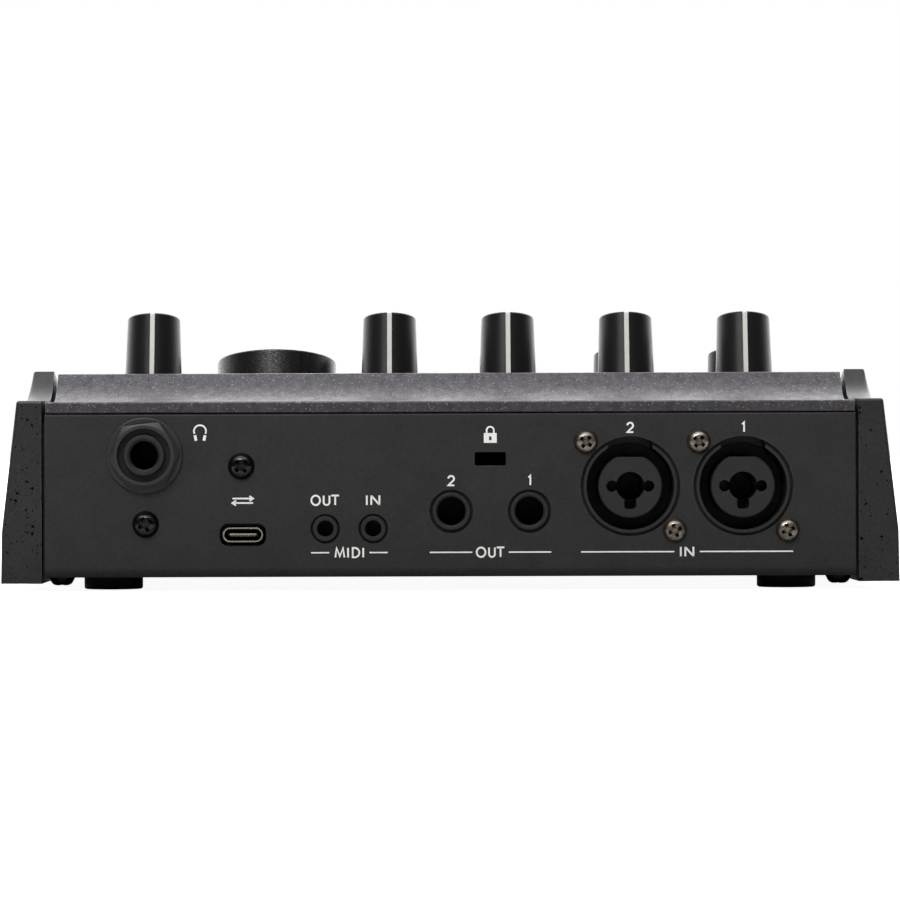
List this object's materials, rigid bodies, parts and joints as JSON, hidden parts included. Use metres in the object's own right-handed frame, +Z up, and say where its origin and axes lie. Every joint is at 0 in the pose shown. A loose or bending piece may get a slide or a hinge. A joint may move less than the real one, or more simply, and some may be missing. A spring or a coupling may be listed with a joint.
{
  "type": "audio interface",
  "caption": "Desktop audio interface with a sloping control panel of knobs and buttons, combined microphone and line sockets, jack sockets and a digital port on the rear.",
  "frame": {"origin": "under the middle of the object's outline, on the surface that its feet stand on", "axes": "+X to the right seen from the user's side, +Y towards the rear socket panel, +Z up"},
  "size_m": [0.2008, 0.153, 0.0638],
  "materials": {
    "black_sheet": "matte powder coat",
    "grey_cover": "metallic fleck coat",
    "cheek_casting": "pitted matte casting",
    "nickel": "worn nickel plate",
    "black_screw": "black oxide, glossy",
    "black_nut": "black nickel",
    "rubber": "matte",
    "board_green": "solder mask",
    "brass": "plain",
    "socket_plastic": "moulded",
    "steel_shell": "nickel plated",
    "pot_body": "moulded",
    "switch_body": "moulded",
    "smoked_lens": "smoked",
    "ribbon_grey": "flat cable",
    "knob_black": "satin",
    "output_knob_black": "satin anodised",
    "shaft_metal": "turned",
    "cap_grey": "satin"
  },
  "bodies": {
    "case": {"chassis_tray": "black_sheet", "top_cover": "grey_cover", "side_cheek_left": "cheek_casting", "side_cheek_right": "cheek_casting", "cheek_screws": "nickel", "bottom_screws": "black_screw", "cover_posts": "nickel", "rubber_feet": "rubber", "main_board": "board_green", "control_board": "board_green", "phones_board": "board_green", "board_standoffs": "brass", "board_screws": "nickel", "combo_housing_1": "socket_plastic", "combo_housing_2": "socket_plastic", "combo_core_1": "socket_plastic", "combo_core_2": "socket_plastic", "combo_screws": "nickel", "line_out_jack_1": "socket_plastic", "line_out_jack_2": "socket_plastic", "headphone_jack": "socket_plastic", "headphone_nut": "black_nut", "headphone_washer": "black_nut", "midi_jack_out": "socket_plastic", "midi_jack_in": "socket_plastic", "usb_shell": "steel_shell", "usb_tongue": "socket_plastic", "rear_panel_screws": "black_screw", "small_pots": "pot_body", "output_pot": "pot_body", "button_switches": "switch_body", "meter_lens": "smoked_lens", "ribbon_cable": "ribbon_grey"},
    "gain_knob_1": {"gain_knob_1": "knob_black", "gain_knob_1_shaft": "shaft_metal"},
    "gain_knob_2": {"gain_knob_2": "knob_black", "gain_knob_2_shaft": "shaft_metal"},
    "gain_knob_3": {"gain_knob_3": "knob_black", "gain_knob_3_shaft": "shaft_metal"},
    "gain_knob_4": {"gain_knob_4": "knob_black", "gain_knob_4_shaft": "shaft_metal"},
    "mix_knob_1": {"mix_knob_1": "knob_black", "mix_knob_1_shaft": "shaft_metal"},
    "mix_knob_2": {"mix_knob_2": "knob_black", "mix_knob_2_shaft": "shaft_metal"},
    "mix_knob_3": {"mix_knob_3": "knob_black", "mix_knob_3_shaft": "shaft_metal"},
    "mix_knob_4": {"mix_knob_4": "knob_black", "mix_knob_4_shaft": "shaft_metal"},
    "phones_knob": {"phones_knob": "knob_black", "phones_knob_shaft": "shaft_metal"},
    "output_knob": {"output_knob": "output_knob_black", "output_knob_shaft": "shaft_metal"},
    "button_1": {"button_1": "cap_grey"},
    "button_2": {"button_2": "cap_grey"},
    "button_3": {"button_3": "cap_grey"},
    "button_4": {"button_4": "cap_grey"},
    "button_5": {"button_5": "cap_grey"},
    "button_6": {"button_6": "cap_grey"}
  },
  "joints": [
    {"name": "gain_knob_1_turn", "type": "hinge", "parent": "case", "child": "gain_knob_1", "pos_m": [-0.06925, 0.02349, 0.04594], "axis": [0, -0.225, 0.9744], "range_deg": [-150, 150]},
    {"name": "gain_knob_2_turn", "type": "hinge", "parent": "case", "child": "gain_knob_2", "pos_m": [-0.04155, 0.02349, 0.04594], "axis": [0, -0.225, 0.9744], "range_deg": [-150, 150]},
    {"name": "gain_knob_3_turn", "type": "hinge", "parent": "case", "child": "gain_knob_3", "pos_m": [-0.01385, 0.02349, 0.04594], "axis": [0, -0.225, 0.9744], "range_deg": [-150, 150]},
    {"name": "gain_knob_4_turn", "type": "hinge", "parent": "case", "child": "gain_knob_4", "pos_m": [0.01385, 0.02349, 0.04594], "axis": [0, -0.225, 0.9744], "range_deg": [-150, 150]},
    {"name": "mix_knob_1_turn", "type": "hinge", "parent": "case", "child": "mix_knob_1", "pos_m": [-0.06925, -0.01051, 0.03809], "axis": [0, -0.225, 0.9744], "range_deg": [-150, 150]},
    {"name": "mix_knob_2_turn", "type": "hinge", "parent": "case", "child": "mix_knob_2", "pos_m": [-0.04155, -0.01051, 0.03809], "axis": [0, -0.225, 0.9744], "range_deg": [-150, 150]},
    {"name": "mix_knob_3_turn", "type": "hinge", "parent": "case", "child": "mix_knob_3", "pos_m": [-0.01385, -0.01051, 0.03809], "axis": [0, -0.225, 0.9744], "range_deg": [-150, 150]},
    {"name": "mix_knob_4_turn", "type": "hinge", "parent": "case", "child": "mix_knob_4", "pos_m": [0.01385, -0.01051, 0.03809], "axis": [0, -0.225, 0.9744], "range_deg": [-150, 150]},
    {"name": "phones_knob_turn", "type": "hinge", "parent": "case", "child": "phones_knob", "pos_m": [0.06925, 0.02349, 0.04594], "axis": [0, -0.225, 0.9744], "range_deg": [-150, 150]},
    {"name": "output_knob_turn", "type": "hinge", "parent": "case", "child": "output_knob", "pos_m": [0.04155, -0.01051, 0.03809], "axis": [0, -0.225, 0.9744], "range_deg": [-150, 150]},
    {"name": "button_1_press", "type": "slide", "parent": "case", "child": "button_1", "axis": [0, 0.225, -0.9744], "range_m": [0, 0.0008], "stiffness_N_per_m": 1500},
    {"name": "button_2_press", "type": "slide", "parent": "case", "child": "button_2", "axis": [0, 0.225, -0.9744], "range_m": [0, 0.0008], "stiffness_N_per_m": 1500},
    {"name": "button_3_press", "type": "slide", "parent": "case", "child": "button_3", "axis": [0, 0.225, -0.9744], "range_m": [0, 0.0008], "stiffness_N_per_m": 1500},
    {"name": "button_4_press", "type": "slide", "parent": "case", "child": "button_4", "axis": [0, 0.225, -0.9744], "range_m": [0, 0.0008], "stiffness_N_per_m": 1500},
    {"name": "button_5_press", "type": "slide", "parent": "case", "child": "button_5", "axis": [0, 0.225, -0.9744], "range_m": [0, 0.0008], "stiffness_N_per_m": 1500},
    {"name": "button_6_press", "type": "slide", "parent": "case", "child": "button_6", "axis": [0, 0.225, -0.9744], "range_m": [0, 0.0008], "stiffness_N_per_m": 1500}
  ]
}
